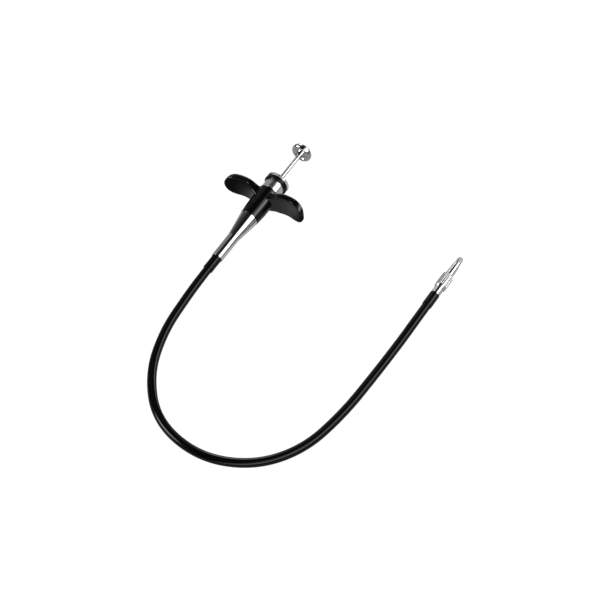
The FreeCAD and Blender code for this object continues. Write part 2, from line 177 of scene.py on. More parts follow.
def make_lathe_marks():
    """Fine rings left by the lathe, around the Z axis of the vector it is given."""
    tree, given, out = shader_group(
        "lathe marks",
        [("Vector", "NodeSocketVector", None), ("Rings per metre", "NodeSocketFloat", 9000.0)],
        [("Height", "NodeSocketFloat"), ("Tone", "NodeSocketFloat")],
    )
    parts = feed(tree, put(tree, "ShaderNodeSeparateXYZ"), Vector=given["Vector"])
    along = maths(tree, "MULTIPLY", parts.outputs["Z"], given["Rings per metre"])
    fine = put(tree, "ShaderNodeTexNoise", noise_dimensions="1D")
    feed(tree, fine, W=along, Scale=1.0, Detail=2.0, Roughness=0.6)
    broad = put(tree, "ShaderNodeTexNoise", noise_dimensions="1D")
    feed(tree, broad, W=along, Scale=0.08, Detail=1.0)
    tree.links.new(fine.outputs["Fac"], out.inputs["Height"])
    tone = maths(tree, "MULTIPLY", fine.outputs["Fac"], broad.outputs["Fac"])
    tree.links.new(tone, out.inputs["Tone"])
    return tree


def make_skin():
    """Slight unevenness of a moulded, extruded or plated surface, with a finer grain on it."""
    tree, given, out = shader_group(
        "skin",
        [
            ("Vector", "NodeSocketVector", None),
            ("Broad size", "NodeSocketFloat", 0.003),
            ("Grain size", "NodeSocketFloat", 0.0002),
            ("Grain share", "NodeSocketFloat", 0.3),
        ],
        [("Height", "NodeSocketFloat"), ("Mottle", "NodeSocketFloat")],
    )
    broad = put(tree, "ShaderNodeTexNoise")
    feed(tree, broad, Vector=given["Vector"], Scale=maths(tree, "DIVIDE", 1.0, given["Broad size"]))
    feed(tree, broad, Detail=2.0, Roughness=0.45)
    grain = put(tree, "ShaderNodeTexNoise")
    feed(tree, grain, Vector=given["Vector"], Scale=maths(tree, "DIVIDE", 1.0, given["Grain size"]))
    feed(tree, grain, Detail=1.0)
    height = maths(
        tree, "MULTIPLY_ADD", grain.outputs["Fac"], given["Grain share"], broad.outputs["Fac"]
    )
    tree.links.new(height, out.inputs["Height"])
    tree.links.new(broad.outputs["Fac"], out.inputs["Mottle"])
    return tree


def make_dust():
    """Sparse specks of dust, a few hundredths of a millimetre across."""
    tree, given, out = shader_group(
        "dust",
        [
            ("Vector", "NodeSocketVector", None),
            ("Speck spacing", "NodeSocketFloat", 0.0009),
            ("Amount", "NodeSocketFloat", 0.5),
        ],
        [("Mask", "NodeSocketFloat")],
    )
    cells = put(tree, "ShaderNodeTexVoronoi", feature="F1")
    scale = maths(tree, "DIVIDE", 1.0, given["Speck spacing"])
    feed(tree, cells, Vector=given["Vector"], Scale=scale, Randomness=1.0)
    specks = eased(tree, cells.outputs["Distance"], 0.10, 0.04)
    patches = put(tree, "ShaderNodeTexNoise")
    feed(tree, patches, Vector=given["Vector"], Scale=160.0, Detail=2.0)
    where = eased(tree, patches.outputs["Fac"], 0.5, 0.7)
    mask = maths(tree, "MULTIPLY", maths(tree, "MULTIPLY", specks, where), given["Amount"])
    tree.links.new(mask, out.inputs["Mask"])
    return tree


def make_rubbed_edges():
    """Edges rubbed by handling: the piece's own edge attribute broken up by noise."""
    tree, given, out = shader_group(
        "rubbed edges",
        [
            ("Vector", "NodeSocketVector", None),
            ("Edge", "NodeSocketFloat", 0.0),
            ("Amount", "NodeSocketFloat", 0.5),
        ],
        [("Mask", "NodeSocketFloat")],
    )
    patches = put(tree, "ShaderNodeTexNoise")
    feed(tree, patches, Vector=given["Vector"], Scale=900.0, Detail=3.0, Roughness=0.6)
    broken = eased(tree, patches.outputs["Fac"], 0.4, 0.75)
    mask = maths(tree, "MULTIPLY", maths(tree, "MULTIPLY", given["Edge"], broken), given["Amount"])
    tree.links.new(mask, out.inputs["Mask"])
    return tree


LATHE_MARKS = make_lathe_marks()
SKIN = make_skin()
DUST = make_dust()
RUBBED_EDGES = make_rubbed_edges()


def use(tree, group, **values):
    """One of the shared effects, placed in a material with its own values."""
    made = put(tree, "ShaderNodeGroup", node_tree=group)
    return feed(tree, made, **values).outputs


# ---------------------------------------------------------------- materials


def start_material(name, placement):
    """A material, its shader and coordinates in the piece's own turned frame, in metres."""
    material = bpy.data.materials.new(name)
    material.use_nodes = True
    tree = material.node_tree
    shader = tree.nodes["Principled BSDF"]
    place = put(tree, "ShaderNodeTexCoord")
    turn = put(tree, "ShaderNodeMapping", vector_type="TEXTURE")
    feed(tree, turn, Vector=place.outputs["Object"])
    turn.inputs["Location"].default_value = placement.to_translation()
    turn.inputs["Rotation"].default_value = placement.to_euler()
    return material, tree, shader, turn.outputs["Vector"]


def edge_of(tree):
    """How near the surface is to a rounded edge, from the piece's own attribute."""
    return put(tree, "ShaderNodeAttribute", attribute_name="edge").outputs["Fac"]


def bump(tree, shader, height, distance):
    """Surface relief of the given depth in metres."""
    made = put(tree, "ShaderNodeBump")
    feed(tree, made, Height=height, Distance=distance, Strength=1.0)
    tree.links.new(made.outputs["Normal"], shader.inputs["Normal"])


# Depths of relief in metres: the lathe's rings on plate, wire and brass, and the broad waves on all.
PLATE_MARKS = 3e-7
WIRE_MARKS = 6e-7
BRASS_MARKS = 8e-7
METAL_WAVES = 1.5e-6


def metal(name, placement, colour, worn_colour, roughness, marks):
    """Plated or bare metal: lathe rings, a slight waviness, smudges and rubbed edges."""
    material, tree, shader, vector = start_material(name, placement)
    feed(tree, shader, Metallic=1.0)
    rings = use(tree, LATHE_MARKS, Vector=vector, Rings_per_metre=11000.0)
    skin = use(tree, SKIN, Vector=vector, Broad_size=0.004, Grain_size=0.0004, Grain_share=0.1)
    rub = use(tree, RUBBED_EDGES, Vector=vector, Edge=edge_of(tree), Amount=0.35)
    smudge = eased(tree, skin["Mottle"], 0.35, 0.75)
    dull = maths(tree, "MULTIPLY_ADD", smudge, roughness * 0.7, roughness)
    dull = maths(tree, "MULTIPLY_ADD", rub["Mask"], 0.12, dull)
    dull = maths(tree, "MULTIPLY_ADD", rings["Tone"], roughness * 0.6, dull)
    tint = mixed(tree, rub["Mask"], colour, worn_colour)
    feed(tree, shader, Base_Color=tint, Roughness=dull)
    waves = maths(tree, "MULTIPLY", skin["Height"], METAL_WAVES / marks)
    bump(tree, shader, maths(tree, "ADD", rings["Height"], waves), marks)
    return material


def chrome(name, placement, shade, worn, roughness):
    """Chrome plate of a given grey over turned brass, and the colour where its edges are rubbed."""
    plate = (shade, shade, shade + 0.005, 1)
    return metal(name, placement, plate, (*worn, 1), roughness, PLATE_MARKS)


def steel(name, placement, shade, roughness):
    """Drawn or ground steel."""
    bare = (shade, shade, shade * 1.02, 1)
    return metal(name, placement, bare, (0.62, 0.61, 0.6, 1), roughness, WIRE_MARKS)


def brass(name, placement):
    """Turned brass with a slight patina."""
    fresh = (0.86, 0.70, 0.38, 1)
    return metal(name, placement, (0.70, 0.52, 0.25, 1), fresh, 0.22, BRASS_MARKS)


JET = (0.002, 0.002, 0.0022, 1)
RUBBED_JET = (0.008, 0.008, 0.0088, 1)
DUST_GREY = (0.10, 0.098, 0.095, 1)


def black_gloss(name, placement, roughness, waviness, grain, dust_amount, index):
    """Glossy black plastic, vinyl or enamel with a faint unevenness, dust and rubbed edges."""
    material, tree, shader, vector = start_material(name, placement)
    skin = use(tree, SKIN, Vector=vector, Broad_size=0.0035, Grain_size=grain, Grain_share=0.25)
    specks = use(tree, DUST, Vector=vector, Amount=dust_amount)
    rub = use(tree, RUBBED_EDGES, Vector=vector, Edge=edge_of(tree), Amount=0.5)
    base = mixed(tree, rub["Mask"], JET, RUBBED_JET)
    base = mixed(tree, specks["Mask"], base, DUST_GREY)
    dull = maths(tree, "MULTIPLY_ADD", skin["Mottle"], roughness * 0.5, roughness * 0.75)
    dull = maths(tree, "MULTIPLY_ADD", rub["Mask"], 0.15, dull)
    dull = maths(tree, "MULTIPLY_ADD", specks["Mask"], 0.5, dull)
    feed(tree, shader, Base_Color=base, Roughness=dull, IOR=index)
    bump(tree, shader, skin["Height"], waviness)
    return material


CHROME = chrome("chrome handle", HANDLE, 0.88, (0.92, 0.88, 0.78), 0.045)
CHROME_TIP = chrome("chrome tip", TIP, 0.88, (0.92, 0.88, 0.78), 0.045)
KNURL_CHROME = chrome("knurled chrome", HANDLE, 0.46, (0.6, 0.58, 0.52), 0.10)
BUTTON_CHROME = chrome("button chrome", HANDLE, 0.56, (0.66, 0.63, 0.56), 0.10)
SATIN_CHROME = chrome("satin chrome", HANDLE, 0.82, (0.88, 0.85, 0.76), 0.21)
RIBBED_CHROME = chrome("ribbed chrome", TIP, 0.62, (0.7, 0.67, 0.6), 0.16)
BRASS = brass("turned brass", HANDLE)
SPRING_WIRE = steel("spring wire", HANDLE, 0.60, 0.20)
TIP_WIRE = steel("wire at the tip", TIP, 0.60, 0.20)
GROUND_STEEL = steel("ground steel", HANDLE, 0.70, 0.10)
GROUND_NOSE = steel("ground nose", TIP, 0.46, 0.60)
GRIP_BLACK = black_gloss("moulded black", HANDLE, 0.10, 1.2e-6, 0.00025, 0.35, 1.46)
VINYL_BLACK = black_gloss("vinyl black", HANDLE, 0.13, 1.6e-6, 0.00018, 0.45, 1.30)
BOOT_BLACK = black_gloss("boot black", TIP, 0.15, 1.6e-6, 0.0002, 0.4, 1.32)
ENAMEL_BLACK = black_gloss("enamel black", HANDLE, 0.30, 1.5e-6, 0.0002, 0.2, 1.25)


# ---------------------------------------------------------------- turned pieces

# Sides of a turned piece, steps of an eased corner, and how near a corner a straight run is held.
AROUND = 128
ARC_STEPS = 4
HOLD = 0.12


def rounded(corners, closed):
    """Points and edge marks of an outline whose (radius, station, rounding) corners are eased."""
    points = []
    count = len(corners)
    for index, (radius, station, easing) in enumerate(corners):
        here = Vector((radius, station))
        ends = not closed and index in (0, count - 1)
        if ends or easing == 0:
            points.append((here, 0.0))
            continue
        before = Vector(corners[index - 1][:2]) - here
        after = Vector(corners[(index + 1) % count][:2]) - here
        reach = min(easing, 0.45 * before.length, 0.45 * after.length)
        start = here + before.normalized() * reach
        stop = here + after.normalized() * reach
        for step in range(ARC_STEPS + 1):
            share = step / ARC_STEPS
            low = start.lerp(here, share)
            high = here.lerp(stop, share)
            points.append((low.lerp(high, share), 1.0))
    return points


def held(points, closed):
    """Extra points close to both ends of each long straight run, so that it shades flat."""
    kept = []
    count = len(points)
    for index, (here, mark) in enumerate(points):
        kept.append((here, mark))
        if not closed and index == count - 1:
            break
        there = points[(index + 1) % count][0]
        run = (there - here).length
        if run > 4 * HOLD:
            kept.append((here.lerp(there, HOLD / run), 0.0))
            kept.append((there.lerp(here, HOLD / run), 0.0))
    return kept


def mark_edges(mesh, values):
    """The attribute that the materials read for rubbed edges."""
    attribute = mesh.attributes.new("edge", "FLOAT", "POINT")
    attribute.data.foreach_set("value", values)


def add_piece(name, mesh, material=None):
    """An object for a finished mesh."""
    piece = bpy.data.objects.new(name, mesh)
    bpy.context.scene.collection.objects.link(piece)
    if material is not None:
        mesh.materials.clear()
        mesh.materials.append(material)
    return piece


def turned(name, corners, placement, material, closed=True, around=AROUND):
    """A piece turned on the lathe from (radius, station, rounding) corners in millimetres."""
    outline = held(rounded(corners, closed), closed)
    vertices = []
    marks = []
    rings = []
    for place, mark in outline:
        sides = 1 if place.x < 1e-6 else around
        rings.append(range(len(vertices), len(vertices) + sides))
        for side in range(sides):
            angle = 2 * math.pi * side / around
            point = Vector((place.x * math.cos(angle), place.x * math.sin(angle), place.y))
            vertices.append(placement @ (point * MM))
            marks.append(mark)
    faces = []
    pairs = list(zip(rings, rings[1:]))
    if closed:
        pairs.append((rings[-1], rings[0]))
    for low, high in pairs:
        for side in range(around):
            following = (side + 1) % around
            corner = [low[side % len(low)], low[following % len(low)]]
            corner += [high[following % len(high)], high[side % len(high)]]
            faces.append(list(dict.fromkeys(corner)))
    mesh = bpy.data.meshes.new(name)
    mesh.from_pydata(vertices, [], [face for face in faces if len(face) > 2])
    mark_edges(mesh, marks)
    face_outwards(mesh)
    return add_piece(name, mesh, material)


def face_outwards(mesh):
    """Consistent outward normals and smooth shading."""
    work = bmesh.new()
    work.from_mesh(mesh)
    bmesh.ops.recalc_face_normals(work, faces=work.faces)
    work.to_mesh(mesh)
    work.free()
    mesh.shade_smooth()


def joined(name, pieces):
    """One piece from several meshes that keep their own materials."""
    work = bmesh.new()
    materials = []
    for piece in pieces:
        first = len(work.faces)
        work.from_mesh(piece.data)
        work.faces.ensure_lookup_table()
        for face in work.faces[first:]:
            if not piece.data.materials:
                continue
            material = piece.data.materials[face.material_index]
            if material not in materials:
                materials.append(material)
            face.material_index = materials.index(material)
    mesh = bpy.data.meshes.new(name)
    work.to_mesh(mesh)
    work.free()
    for material in materials:
        mesh.materials.append(material)
    for piece in pieces:
        bpy.data.objects.remove(piece)
    return add_piece(name, mesh)


# ---------------------------------------------------------------- repeated shapes


def geometry_tree(name, inputs):
    """An empty Geometry Nodes tree with named inputs and a geometry output."""
    tree = bpy.data.node_groups.new(name, "GeometryNodeTree")
    for label, kind in inputs:
        tree.interface.new_socket(label, in_out="INPUT", socket_type=kind)
    tree.interface.new_socket("Geometry", in_out="OUTPUT", socket_type="NodeSocketGeometry")
    return tree, tree.nodes.new("NodeGroupInput").outputs, tree.nodes.new("NodeGroupOutput")


def finish_tree(tree, given, out, geometry, mark):
    """Realize instances, mark the whole shape for rubbed edges, set the material."""
    real = feed(tree, put(tree, "GeometryNodeRealizeInstances"), Geometry=geometry)
    smooth = feed(tree, put(tree, "GeometryNodeSetShadeSmooth"), Geometry=real.outputs["Geometry"])
    store = put(tree, "GeometryNodeStoreNamedAttribute", data_type="FLOAT", domain="POINT")
    feed(tree, store, Geometry=smooth.outputs["Geometry"], Name="edge", Value=mark)
    finish = put(tree, "GeometryNodeSetMaterial")
    feed(tree, finish, Geometry=store.outputs["Geometry"], Material=given["Finish"])
    tree.links.new(finish.outputs["Geometry"], out.inputs["Geometry"])


def make_ribs_tree():
    """Straight ribs round a barrel, each a thin rod that fades at both ends."""
    tree, given, out = geometry_tree("ribs round a barrel", [
        ("Count", "NodeSocketInt"),
        ("Ring radius", "NodeSocketFloat"),
        ("Rib radius", "NodeSocketFloat"),
        ("Start", "NodeSocketFloat"),
        ("End", "NodeSocketFloat"),
        ("Finish", "NodeSocketMaterial"),
    ])
    low = feed(tree, put(tree, "ShaderNodeCombineXYZ"), Z=given["Start"])
    high = feed(tree, put(tree, "ShaderNodeCombineXYZ"), Z=given["End"])
    line = put(tree, "GeometryNodeCurvePrimitiveLine")
    feed(tree, line, Start=low.outputs["Vector"], End=high.outputs["Vector"])
    points = put(tree, "GeometryNodeResampleCurve")
    feed(tree, points, Curve=line.outputs["Curve"], Count=9)
    along = put(tree, "GeometryNodeSplineParameter").outputs["Factor"]
    from_middle = maths(tree, "ABSOLUTE", maths(tree, "MULTIPLY_ADD", along, 2.0, -1.0))
    fade = eased(tree, from_middle, 0.70, 1.0, 1.0, 0.25)
    shaped = put(tree, "GeometryNodeSetCurveRadius")
    feed(tree, shaped, Curve=points.outputs["Curve"], Radius=fade)
    section = feed(
        tree, put(tree, "GeometryNodeCurvePrimitiveCircle"), Resolution=8, Radius=given["Rib radius"]
    )
    rib = put(tree, "GeometryNodeCurveToMesh")
    feed(tree, rib, Curve=shaped.outputs["Curve"], Profile_Curve=section.outputs["Curve"])
    rib.inputs["Fill Caps"].default_value = True
    spots = put(tree, "GeometryNodePoints")
    number = put(tree, "GeometryNodeInputIndex").outputs["Index"]
    turn = maths(tree, "DIVIDE", maths(tree, "MULTIPLY", number, 2 * math.pi), given["Count"])
    place = put(tree, "ShaderNodeCombineXYZ")
    feed(tree, place, X=maths(tree, "MULTIPLY", maths(tree, "COSINE", turn), given["Ring radius"]))
    feed(tree, place, Y=maths(tree, "MULTIPLY", maths(tree, "SINE", turn), given["Ring radius"]))
    feed(tree, spots, Count=given["Count"], Position=place.outputs["Vector"])
    aim = feed(tree, put(tree, "ShaderNodeCombineXYZ"), Z=turn)
    copies = put(tree, "GeometryNodeInstanceOnPoints")
    feed(tree, copies, Points=spots.outputs[0], Instance=rib.outputs["Mesh"])
    feed(tree, copies, Rotation=aim.outputs["Vector"])
    finish_tree(tree, given, out, copies.outputs["Instances"], 1.0)
    return tree


def make_coil_tree():
    """A coil of wire, straight or tapered; wound close over a core, it is a screw thread."""
    tree, given, out = geometry_tree("coil of wire", [
        ("Turns", "NodeSocketFloat"),
        ("First radius", "NodeSocketFloat"),
        ("Last radius", "NodeSocketFloat"),
        ("Length", "NodeSocketFloat"),
        ("Wire radius", "NodeSocketFloat"),
        ("Sides", "NodeSocketInt"),
        ("End size", "NodeSocketFloat"),
        ("Finish", "NodeSocketMaterial"),
    ])
    spiral = put(tree, "GeometryNodeCurveSpiral")
    feed(tree, spiral, Resolution=40, Rotations=given["Turns"], Height=given["Length"])
    feed(tree, spiral, Start_Radius=given["First radius"], End_Radius=given["Last radius"])
    level = put(tree, "GeometryNodeSetCurveNormal", mode="Z_UP")
    feed(tree, level, Curve=spiral.outputs["Curve"])
    along = put(tree, "GeometryNodeSplineParameter").outputs["Factor"]
    from_middle = maths(tree, "ABSOLUTE", maths(tree, "MULTIPLY_ADD", along, 2.0, -1.0))
    fade = eased(tree, from_middle, 0.93, 1.0, 1.0, given["End size"])
    shaped = put(tree, "GeometryNodeSetCurveRadius")
    feed(tree, shaped, Curve=level.outputs["Curve"], Radius=fade)
    section = put(tree, "GeometryNodeCurvePrimitiveCircle")
    feed(tree, section, Resolution=given["Sides"], Radius=given["Wire radius"])
    wire = put(tree, "GeometryNodeCurveToMesh")
    feed(tree, wire, Curve=shaped.outputs["Curve"], Profile_Curve=section.outputs["Curve"])
    wire.inputs["Fill Caps"].default_value = True
    finish_tree(tree, given, out, wire.outputs["Mesh"], 0.6)
    return tree


def grown(name, tree, placement, lift, values):
    """A tree's result as a plain mesh piece, moved up its own axis by lift millimetres."""
    holder = add_piece(name, bpy.data.meshes.new(name))
    modifier = holder.modifiers.new("rule", "NODES")
    modifier.node_group = tree
    for item in tree.interface.items_tree:
        if item.in_out == "INPUT":
            modifier[item.identifier] = values[item.name]
    graph = bpy.context.evaluated_depsgraph_get()
    mesh = bpy.data.meshes.new_from_object(holder.evaluated_get(graph), depsgraph=graph)
    holder.modifiers.remove(modifier)
    mesh.transform(placement @ Matrix.Translation((0, 0, lift * MM)))
    face_outwards(mesh)
    holder.data = mesh
    return holder


RIBS = make_ribs_tree()
COIL = make_coil_tree()


def ribs(name, placement, count, ring, rib, start, end, finish):
    """Ribs round a barrel, sizes in millimetres."""
    return grown(name, RIBS, placement, 0, {
        "Count": count,
        "Ring radius": ring * MM,
        "Rib radius": rib * MM,
        "Start": start * MM,
        "End": end * MM,
        "Finish": finish,
    })


def coil(name, placement, start, end, turns, radii, wire, sides, end_size, finish):
    """A coil between two stations, sizes in millimetres."""
    return grown(name, COIL, placement, start, {
        "Turns": turns,
        "First radius": radii[0] * MM,
        "Last radius": radii[1] * MM,
        "Length": (end - start) * MM,
        "Wire radius": wire * MM,
        "Sides": sides,
        "End size": end_size,
        "Finish": finish,
    })


# ---------------------------------------------------------------- handle pieces


def make_strain_relief():
    """Black collar over the cable's end, slightly flared at its mouth."""
    return turned("strain_relief_sleeve", [
        (2.02, -7.2, 0.15),
        (2.35, -7.2, 0.25),
        (2.30, -4.0, 0.5),
        (2.35, -0.5, 0.3),
        (2.35, 0.0, 0.1),
        (1.9, 0.0, 0.0),
        (1.9, -1.0, 0.0),
        (2.02, -3.0, 0.0),
    ], HANDLE, VINYL_BLACK)


def make_cone_sleeve():
    """Chrome sleeve that opens into a cone under the grip."""
    return turned("chrome_cone_sleeve", [
        (2.2, 0.0, 0.05),
        (2.72, 0.0, 0.05),
        (2.72, 13.3, 0.5),
        (4.45, 26.0, 0.08),
        (3.6, 26.0, 0.0),
        (3.6, 29.0, 0.1),
        (2.62, 29.0, 0.0),
        (2.62, 16.0, 0.0),
        (2.2, 16.0, 0.0),
    ], HANDLE, CHROME)


def make_neck():
    """Chrome neck between the grip and the lock ring, with its floor and bore."""
    return turned("chrome_neck", [
        (1.25, 37.2, 0.0),
        (3.85, 37.2, 0.0),
        (3.85, 43.2, 0.0),
        (4.8, 43.2, 0.08),
        (4.8, 48.2, 0.15),
        (3.5, 48.2, 0.08),
        (3.5, 40.3, 0.0),
        (1.25, 40.3, 0.1),
    ], HANDLE, SATIN_CHROME)


def make_lock_ring():
    """Black enamelled skirt of the lock ring."""
    return turned("black_lock_skirt", [
        (4.9, 48.05, 0.1),
        (5.7, 48.05, 0.3),
        (5.7, 49.8, 0.05),
        (4.9, 49.8, 0.0),
    ], HANDLE, ENAMEL_BLACK)


def make_lock_disc():
    """Chrome disc of the lock ring: a finely knurled rim and a flat face round the rod."""
    disc = turned("disc_blank", [
        (1.15, 50.1, 0.05),
        (4.9, 50.1, 0.0),
        (4.9, 49.8, 0.0),
        (5.55, 49.8, 0.05),
        (5.55, 51.3, 0.15),
        (5.2, 51.3, 0.05),
        (4.9, 51.15, 0.05),
        (2.4, 51.15, 0.05),
        (2.2, 51.3, 0.05),
        (1.15, 51.3, 0.12),
    ], HANDLE, KNURL_CHROME)
    rim = ribs("disc_ribs", HANDLE, 72, 5.5, 0.17, 49.85, 51.25, KNURL_CHROME)
    return joined("knurled_lock_disc", [disc, rim])


def make_rod():
    """Chrome rod between the piston and the button."""
    return turned("chrome_rod", [
        (0.0, 35.0, 0.0),
        (1.0, 35.0, 0.1),
        (1.0, 71.0, 0.0),
        (0.0, 71.0, 0.0),
    ], HANDLE, SATIN_CHROME, closed=False, around=64)


def make_button():
    """Mushroom button with a rolled rim, a flared boss and a low dome."""
    return turned("chrome_button", [
        (1.0, 68.3, 0.0),
        (1.4, 68.3, 0.12),
        (1.4, 69.3, 0.4),
        (1.75, 70.2, 0.4),
        (2.3, 71.0, 0.4),
        (2.9, 71.1, 0.3),
        (3.3, 70.6, 0.3),
        (3.8, 70.2, 0.3),
        (4.4, 70.25, 0.35),
        (4.9, 70.8, 0.4),
        (5.0, 71.6, 0.4),
        (4.75, 72.5, 0.45),
        (3.9, 73.3, 0.6),
        (2.2, 73.95, 0.9),
        (0.0, 74.18, 0.0),
        (0.0, 70.9, 0.0),
        (1.0, 70.9, 0.0),
    ], HANDLE, BUTTON_CHROME)


def make_springs():
    """Return spring under the piston and the small spring of the lock ring."""
    back = coil("return_coil", HANDLE, 17.75, 34.75, 13.0, (1.9, 1.9), 0.2, 8, 1.0, SPRING_WIRE)
    lock = coil("lock_coil", HANDLE, 47.95, 49.85, 3.0, (2.6, 2.6), 0.2, 8, 1.0, SPRING_WIRE)
    return back, lock


# ---------------------------------------------------------------- finger grip

GRIP_BOTTOM = 26.0
GRIP_WAIST = 31.6
GRIP_TOP = 43.2
GRIP_STATIONS = (GRIP_BOTTOM, GRIP_WAIST, GRIP_TOP)
GRIP_RADII = (4.55, 5.0, 5.2)
GRIP_VOXEL = 0.17

# The barrel is trued where it is off by less than the first length, fading out over the second,
# and keeps the rounding of its ends over the last two.
TRUE_WITHIN = 0.05
TRUE_FADE = 0.10
BOTTOM_ROUNDING = 0.5
TOP_ROUNDING = 0.6

# Places along a wing, from the barrel's axis outwards: its start, the stretch where it widens, where
# its rings get closer, where its outline begins to round off, and its end. The last ring is just short
# of the end. Then the number of rings on the wing's body and on its tip.
WING_START = 2.2
WING_WIDENS = (3.6, 8.6)
WING_TIP_RINGS_FROM = 14.8
WING_TIP_CENTRE = 15.286
WING_SPAN = 21.3
LAST_RING = WING_SPAN - 0.02
BODY_RINGS = 30
TIP_RINGS = 24

# A wing's section: half its width at the root and beyond it, the least share of that width and the
# least half thickness that the tip keeps, its number of sides, and the exponents of its nearly flat
# finger side and softer button side.
WING_ROOT_CHORD = 4.5
WING_CHORD = 6.0
LEAST_CHORD_SHARE = 0.02
LEAST_HALF_THICKNESS = 0.15
WING_SIDES = 64
FLAT_CURVE = 2 / 7.0
SOFT_CURVE = 2 / 3.6
FINGER_SIDE = [
    (2.0, 35.6),
    (3.2, 36.5),
    (4.4, 37.15),
    (6.2, 38.35),
    (8.3, 39.1),
    (11.5, 39.45),
    (16.0, 38.8),
    (19.5, 37.95),
    (21.3, 37.8),
]
BUTTON_SIDE = [
    (2.0, 42.3),
    (5.0, 42.25),
    (7.0, 42.35),
    (10.5, 42.8),
    (15.2, 42.5),
    (18.0, 41.7),
    (20.4, 40.3),
    (21.3, 39.1),
]


def curve_through(points, across):
    """A smooth curve (monotone in its slopes) through listed points."""
    xs = [point[0] for point in points]
    ys = [point[1] for point in points]
    slopes = np.gradient(ys, xs)
    index = min(max(np.searchsorted(xs, across) - 1, 0), len(xs) - 2)
    width = xs[index + 1] - xs[index]
    share = min(max((across - xs[index]) / width, 0.0), 1.0)
    rise = ys[index + 1] - ys[index]
    first = slopes[index] * width - rise
    last = rise - slopes[index + 1] * width
    bend = share * (1 - share) * (first * (1 - share) + last * share)
    return ys[index] + rise * share + bend


def half_chord(across):
    """Half the wing's width along the table's normal, rounded at the tip."""
    if across > WING_TIP_CENTRE:
        reach = WING_SPAN - WING_TIP_CENTRE
        share = (across - WING_TIP_CENTRE) / reach
        return WING_CHORD * math.sqrt(max(1 - share * share, LEAST_CHORD_SHARE**2))
    low, high = WING_WIDENS
    share = min(max((across - low) / (high - low), 0.0), 1.0)
    return WING_ROOT_CHORD + (WING_CHORD - WING_ROOT_CHORD) * share * share * (3 - 2 * share)


def bent(value, power):
    """A power of the value's size, with its own sign."""
    return math.copysign(abs(value) ** power, value)


def wing_section(across):
    """A rounded section of the wing: nearly flat finger side, softer button side."""
    low = curve_through(FINGER_SIDE, across)
    high = curve_through(BUTTON_SIDE, across)
    chord = half_chord(across)
    middle = (low + high) / 2
    thick = max((high - low) / 2, LEAST_HALF_THICKNESS)
    section = []
    for side in range(WING_SIDES):
        angle = 2 * math.pi * side / WING_SIDES
        out = bent(math.cos(angle), FLAT_CURVE)
        up = bent(math.sin(angle), FLAT_CURVE if math.sin(angle) < 0 else SOFT_CURVE)
        section.append((out * chord, middle + up * thick))
    return section


def wing_blank(side):
    """One wing, lofted from inside the barrel to its rounded tip, in the handle's frame."""
    stations = list(np.linspace(WING_START, WING_TIP_RINGS_FROM, BODY_RINGS))
    for step in range(1, TIP_RINGS + 1):
        share = math.sin(math.pi / 2 * step / TIP_RINGS)
        stations.append(WING_TIP_RINGS_FROM + (LAST_RING - WING_TIP_RINGS_FROM) * share)
    work = bmesh.new()
    rings = []
    for across in stations:
        ring = [work.verts.new((side * across, -c, a)) for c, a in wing_section(across)]
        rings.append(ring)
    count = len(rings[0])
    for low, high in zip(rings, rings[1:]):
        for index in range(count):
            following = (index + 1) % count
            work.faces.new((low[index], low[following], high[following], high[index]))
    work.faces.new(rings[0])
    work.faces.new(rings[-1])
    bmesh.ops.recalc_face_normals(work, faces=work.faces)
    mesh = bpy.data.meshes.new("wing_blank")
    work.to_mesh(mesh)
    work.free()
    return add_piece("wing_blank", mesh)


def barrel_blank():
    """The grip's barrel, solid, in the handle's frame and in millimetres."""
    corners = [
        (0.0, GRIP_BOTTOM, 0.0),
        (GRIP_RADII[0], GRIP_BOTTOM, 0.25),
        (GRIP_RADII[1], GRIP_WAIST, 1.5),
        (GRIP_RADII[2], GRIP_TOP, 0.5),
        (0.0, GRIP_TOP, 0.0),
    ]
    return turned("barrel_blank", corners, Matrix.Scale(1 / MM, 4), None, closed=False)


def bore_tool():
    """What the stepped bore takes away, in the handle's frame and in millimetres."""
    corners = [
        (0.0, GRIP_BOTTOM - 1, 0.0),
        (3.62, GRIP_BOTTOM - 1, 0.0),
        (3.62, 29.0, 0.0),
        (2.65, 29.0, 0.0),
        (2.65, 37.2, 0.0),
        (3.9, 37.2, 0.0),
        (3.9, GRIP_TOP + 1, 0.0),
        (0.0, GRIP_TOP + 1, 0.0),
    ]
    return turned("bore_tool", corners, Matrix.Scale(1 / MM, 4), None, closed=False)


def apply_modifiers(piece):
    """The piece's modifiers made part of its mesh."""
    graph = bpy.context.evaluated_depsgraph_get()
    mesh = bpy.data.meshes.new_from_object(piece.evaluated_get(graph), depsgraph=graph)
    piece.modifiers.clear()
    piece.data = mesh


def true_barrel(mesh):
    """Bring the smoothed barrel back to its exact radius wherever no wing joins it."""
    count = len(mesh.vertices)
    places = np.zeros(count * 3)
    mesh.vertices.foreach_get("co", places)
    places = places.reshape(-1, 3)
    radius = np.hypot(places[:, 0], places[:, 1])
    wanted = np.interp(places[:, 2], GRIP_STATIONS, GRIP_RADII)
    off = np.abs(radius - wanted)
    share = 1 - np.clip((off - TRUE_WITHIN) / TRUE_FADE, 0, 1)
    above = places[:, 2] > GRIP_BOTTOM + BOTTOM_ROUNDING
    below = places[:, 2] < GRIP_TOP - TOP_ROUNDING
    share = share * share * (3 - 2 * share) * (above & below)
    factor = 1 + share * (wanted / np.maximum(radius, 1e-6) - 1)
    places[:, :2] *= factor[:, None]
    mesh.vertices.foreach_set("co", places.ravel())
    mesh.update()


FULLY_RUBBED_TURN = math.radians(28)


def crease_marks(mesh):
    """How sharply the surface turns at each vertex, for the rubbed edges."""
    work = bmesh.new()
    work.from_mesh(mesh)
    marks = []
    for vertex in work.verts:
        sharpest = max((edge.calc_face_angle(0.0) for edge in vertex.link_edges), default=0.0)
        marks.append(min(sharpest / FULLY_RUBBED_TURN, 1.0))
    work.free()
    mark_edges(mesh, marks)


